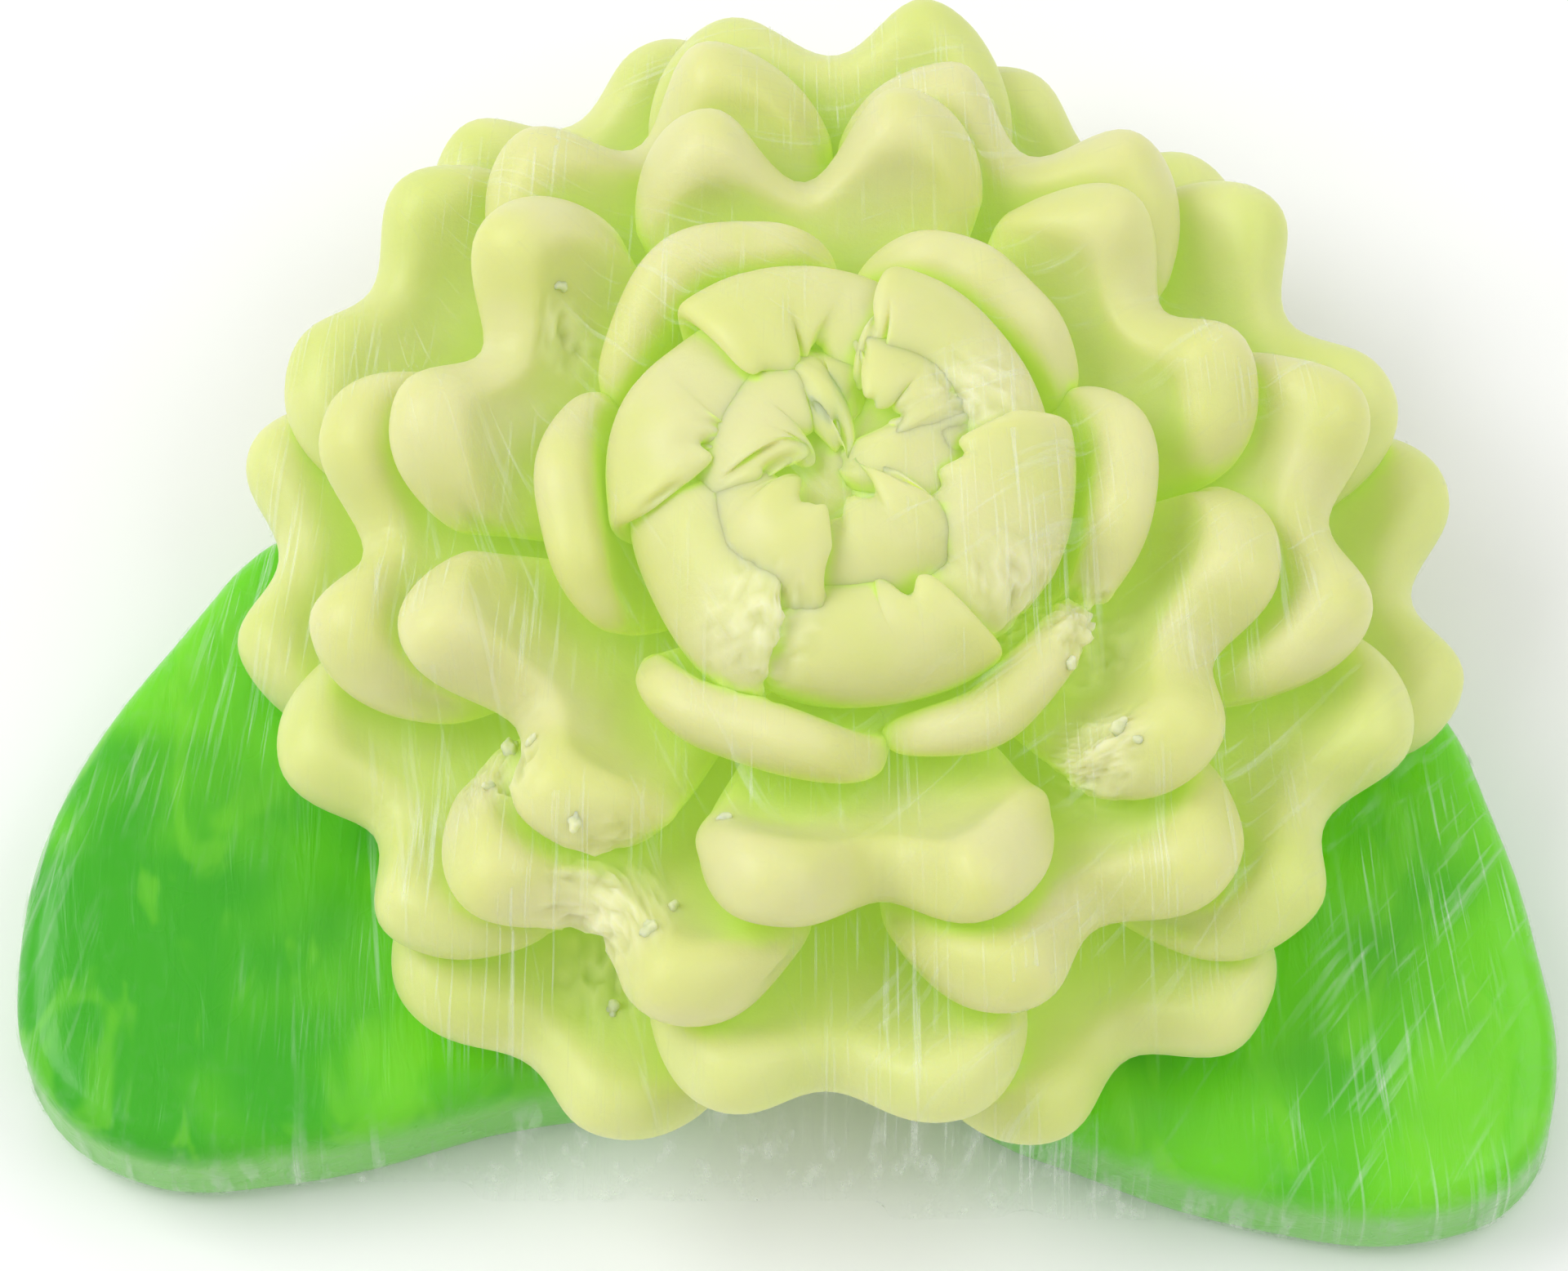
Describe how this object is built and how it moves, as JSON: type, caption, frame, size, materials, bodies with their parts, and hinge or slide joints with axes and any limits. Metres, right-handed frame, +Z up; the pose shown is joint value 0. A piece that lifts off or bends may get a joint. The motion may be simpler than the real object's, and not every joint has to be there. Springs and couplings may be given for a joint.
{
  "type": "flower-shaped soap",
  "caption": "Decorative soap shaped as a cabbage-like flower: thick lobed petals round a closed bud, on leaf-shaped slabs, wrapped in clear film.",
  "frame": {"origin": "on the flower's axis, on the surface that the soap stands on", "axes": "+Z up along the flower's axis, +X to the right along the object's long side, and -Y towards the free ends of the two leaves"},
  "size_m": [0.1197, 0.0954, 0.043],
  "materials": {
    "pale_soap": "waxy opaque soap, pale yellow-green",
    "outer_soap": "waxy opaque soap, slightly greener",
    "leaf_soap": "smooth translucent bright green soap",
    "clear_film": "clear glossy cling film"
  },
  "bodies": {
    "root": {"skirt_petal_1": "outer_soap", "skirt_petal_2": "outer_soap", "skirt_petal_3": "outer_soap", "skirt_petal_4": "outer_soap", "skirt_petal_5": "outer_soap", "skirt_petal_6": "outer_soap", "lower_petal_1": "outer_soap", "lower_petal_2": "outer_soap", "lower_petal_3": "outer_soap", "lower_petal_4": "outer_soap", "lower_petal_5": "outer_soap", "lower_petal_6": "outer_soap", "middle_petal_1": "pale_soap", "middle_petal_2": "pale_soap", "middle_petal_3": "pale_soap", "middle_petal_4": "pale_soap", "middle_petal_5": "pale_soap", "middle_petal_6": "pale_soap", "upper_petal_1": "pale_soap", "upper_petal_2": "pale_soap", "upper_petal_3": "pale_soap", "upper_petal_4": "pale_soap", "upper_petal_5": "pale_soap", "upper_petal_6": "pale_soap", "collar_petal_1": "pale_soap", "collar_petal_2": "pale_soap", "collar_petal_3": "pale_soap", "collar_petal_4": "pale_soap", "collar_petal_5": "pale_soap", "collar_petal_6": "pale_soap", "bud_petal_1": "pale_soap", "bud_petal_2": "pale_soap", "bud_petal_3": "pale_soap", "bud_petal_4": "pale_soap", "bud_petal_5": "pale_soap", "bud_petal_6": "pale_soap", "heart_petal_1": "pale_soap", "heart_petal_2": "pale_soap", "heart_petal_3": "pale_soap", "heart_petal_4": "pale_soap", "heart_petal_5": "pale_soap", "heart_petal_6": "pale_soap", "flower_core": "pale_soap", "left_leaf": "leaf_soap", "right_leaf": "leaf_soap", "cling_film": "clear_film"}
  },
  "joints": []
}
